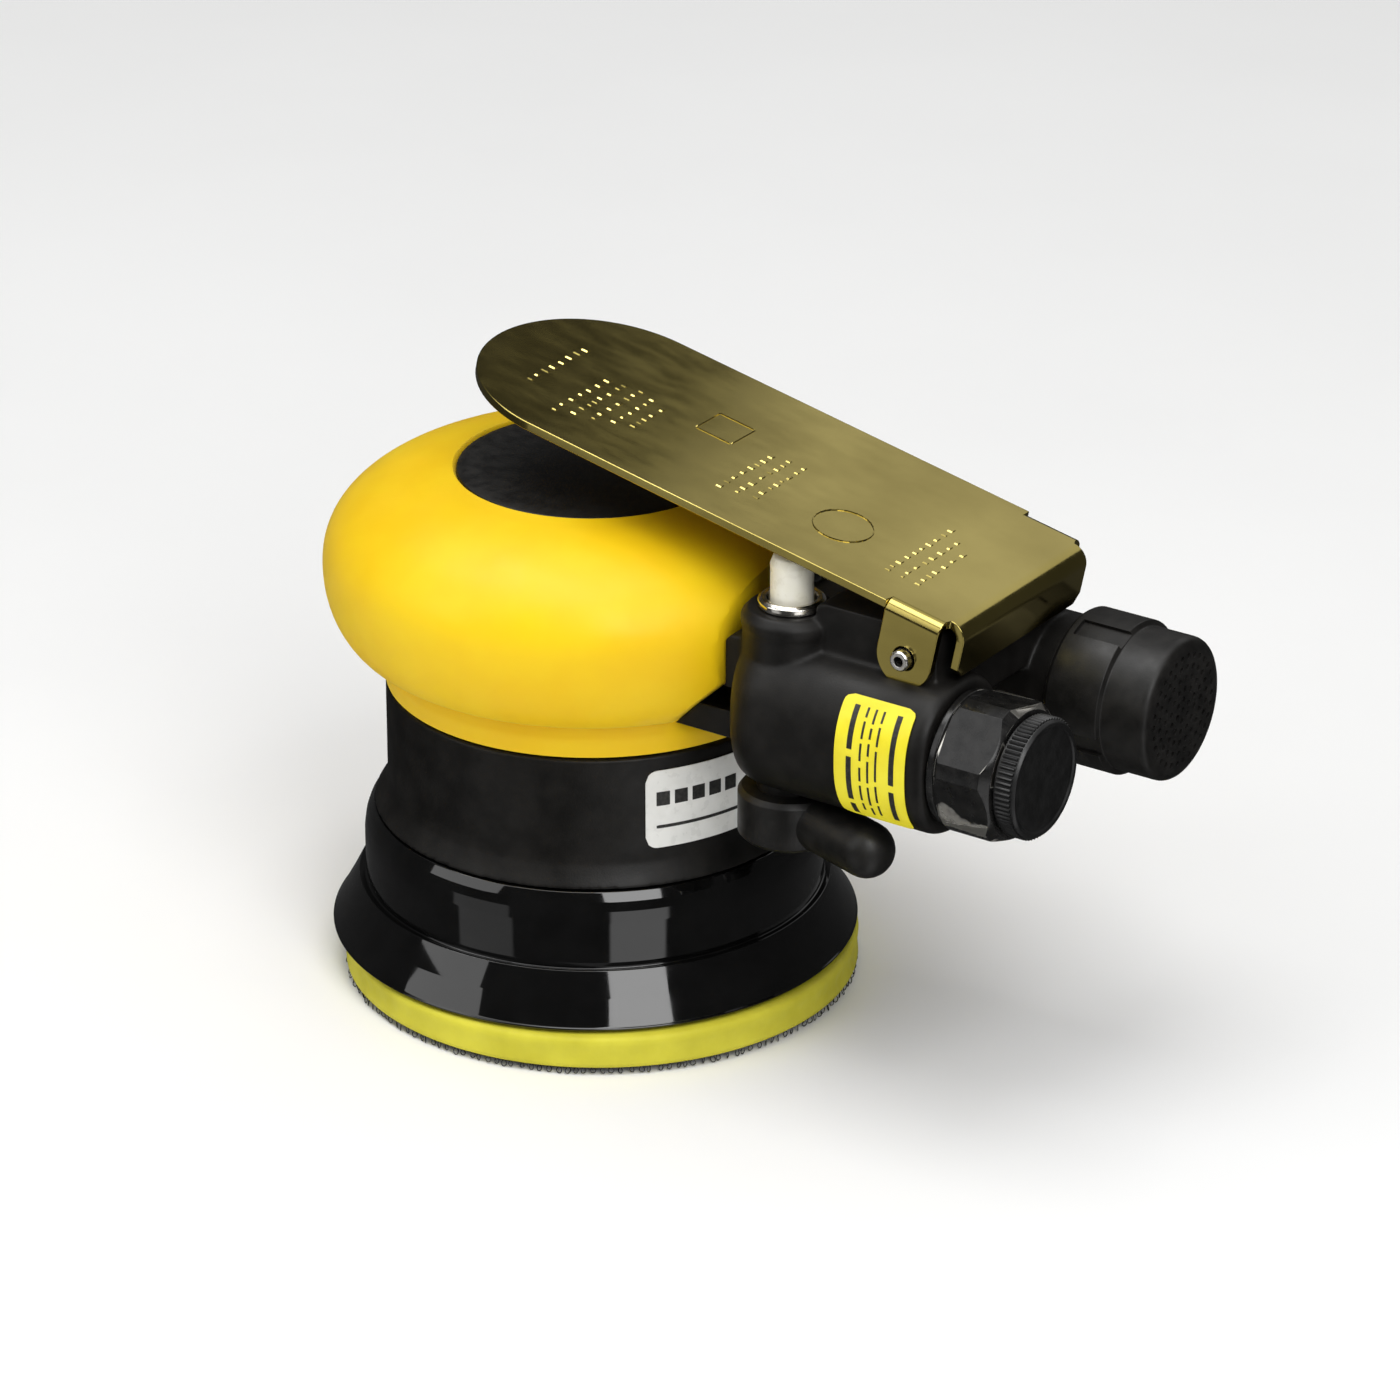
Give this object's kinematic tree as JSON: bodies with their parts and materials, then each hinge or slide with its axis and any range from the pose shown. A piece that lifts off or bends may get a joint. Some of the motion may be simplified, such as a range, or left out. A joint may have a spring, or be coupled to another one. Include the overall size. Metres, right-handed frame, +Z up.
{
  "type": "orbital sander",
  "caption": "Palm-held air-driven random-orbital sander with a round hook-faced pad, mushroom grip, squeeze lever, side inlet and muffler.",
  "frame": {"origin": "on the motor axis at the underside of the pad, the face that rests on the work", "axes": "+Z up along the motor axis, +X to the rear where the inlet and muffler point, +Y to the muffler side"},
  "size_m": [0.1309, 0.0796, 0.0962],
  "materials": {
    "housing_composite": "fine matte moulded composite",
    "moulded_black": "satin black moulding",
    "grip_rubber": "soft satin yellow rubber",
    "shroud_gloss": "high gloss black",
    "lever_chromate": "polished sheet steel with olive gold chromate",
    "steel": "ground bright steel",
    "bearing_steel": "ground bearing steel",
    "rotor_steel": "turned steel",
    "blackened_steel": "blackened steel, worn bright on its edges",
    "nickel_plate": "bright nickel plate",
    "aluminium": "machined",
    "acetal_white": "smooth off-white acetal",
    "seal_rubber": "black sealing rubber",
    "plug_black": "soft black plastic",
    "felt": "grey felt",
    "vane_fibre": "brown fibre laminate",
    "backing_fibre": "glass fibre laminate",
    "pad_foam": "yellow-green closed-cell foam",
    "hook_fabric": "black hook fastener cloth",
    "label_white": "white label film",
    "label_yellow": "yellow label film"
  },
  "bodies": {
    "body": {"housing": "housing_composite", "grip": "grip_rubber", "top_disc": "moulded_black", "shroud": "shroud_gloss", "side_label": "label_white", "inlet_label": "label_yellow", "lever_pin": "steel", "valve_bushing": "nickel_plate", "valve_seat": "nickel_plate", "valve_spring": "steel", "inlet_bushing": "blackened_steel", "inlet_o_ring": "seal_rubber", "inlet_screen": "steel", "control_ring": "steel", "muffler_body": "moulded_black", "muffler_sleeve": "plug_black", "muffler_insert": "felt", "upper_end_plate": "aluminium", "cylinder": "steel", "lower_end_plate": "aluminium", "cylinder_pin": "steel", "upper_bearing_outer": "bearing_steel", "lower_bearing_outer": "bearing_steel", "lock_ring": "aluminium"},
    "lever": {"throttle_lever": "lever_chromate"},
    "stem": {"valve_stem": "acetal_white", "stem_o_ring": "seal_rubber"},
    "tilt_valve": {"tip_valve": "seal_rubber"},
    "crank": {"rotor": "rotor_steel", "vane_1": "vane_fibre", "vane_2": "vane_fibre", "vane_3": "vane_fibre", "vane_4": "vane_fibre", "vane_5": "vane_fibre", "rotor_key": "bearing_steel", "crank_shaft": "bearing_steel", "upper_bearing_inner": "bearing_steel", "lower_bearing_inner": "bearing_steel", "spindle_bearing_outer": "bearing_steel", "bearing_clip": "steel"},
    "pad": {"spindle": "bearing_steel", "spindle_bearing_inner": "bearing_steel", "dust_shield": "felt", "pad_stud": "steel", "pad_backing": "backing_fibre", "pad_foam": "pad_foam", "hook_face": "hook_fabric"},
    "control": {"speed_control": "moulded_black"},
    "plug": {"inlet_plug": "plug_black"}
  },
  "joints": [
    {"name": "lever_hinge", "type": "hinge", "parent": "body", "child": "lever", "pos_m": [0.066, 0, 0.072], "axis": [0, -1, 0], "range_deg": [0, 9.5], "stiffness_Nm_per_rad": 1.2, "springref_deg": -14.32},
    {"name": "stem_slide", "type": "slide", "parent": "body", "child": "stem", "axis": [0, 0, -1], "range_m": [0, 0.0039]},
    {"name": "valve_tilt", "type": "hinge", "parent": "body", "child": "tilt_valve", "pos_m": [0.06, -0.015, 0.0638], "axis": [0, -1, 0], "range_deg": [0, 14.6], "deforming": ["valve_spring"]},
    {"name": "motor_spin", "type": "hinge", "parent": "body", "child": "crank", "pos_m": [0, 0, 0.05], "axis": [0, 0, 1], "continuous": true},
    {"name": "pad_spin", "type": "hinge", "parent": "crank", "child": "pad", "pos_m": [0.00212, -0.00133, 0.01], "axis": [0, 0, 1], "continuous": true},
    {"name": "speed_turn", "type": "hinge", "parent": "body", "child": "control", "pos_m": [0.0449, -0.015, 0.0418], "axis": [0, 0, 1], "range_deg": [-50, 40]},
    {"name": "plug_pull", "type": "slide", "parent": "body", "child": "plug", "axis": [1, 0, 0], "range_m": [0, 0.012]}
  ],
  "couplings": [
    {"joint": "stem_slide", "follows": "lever_hinge", "m_per_rad": 0.0222},
    {"joint": "valve_tilt", "follows": "lever_hinge", "ratio": 1.43}
  ]
}
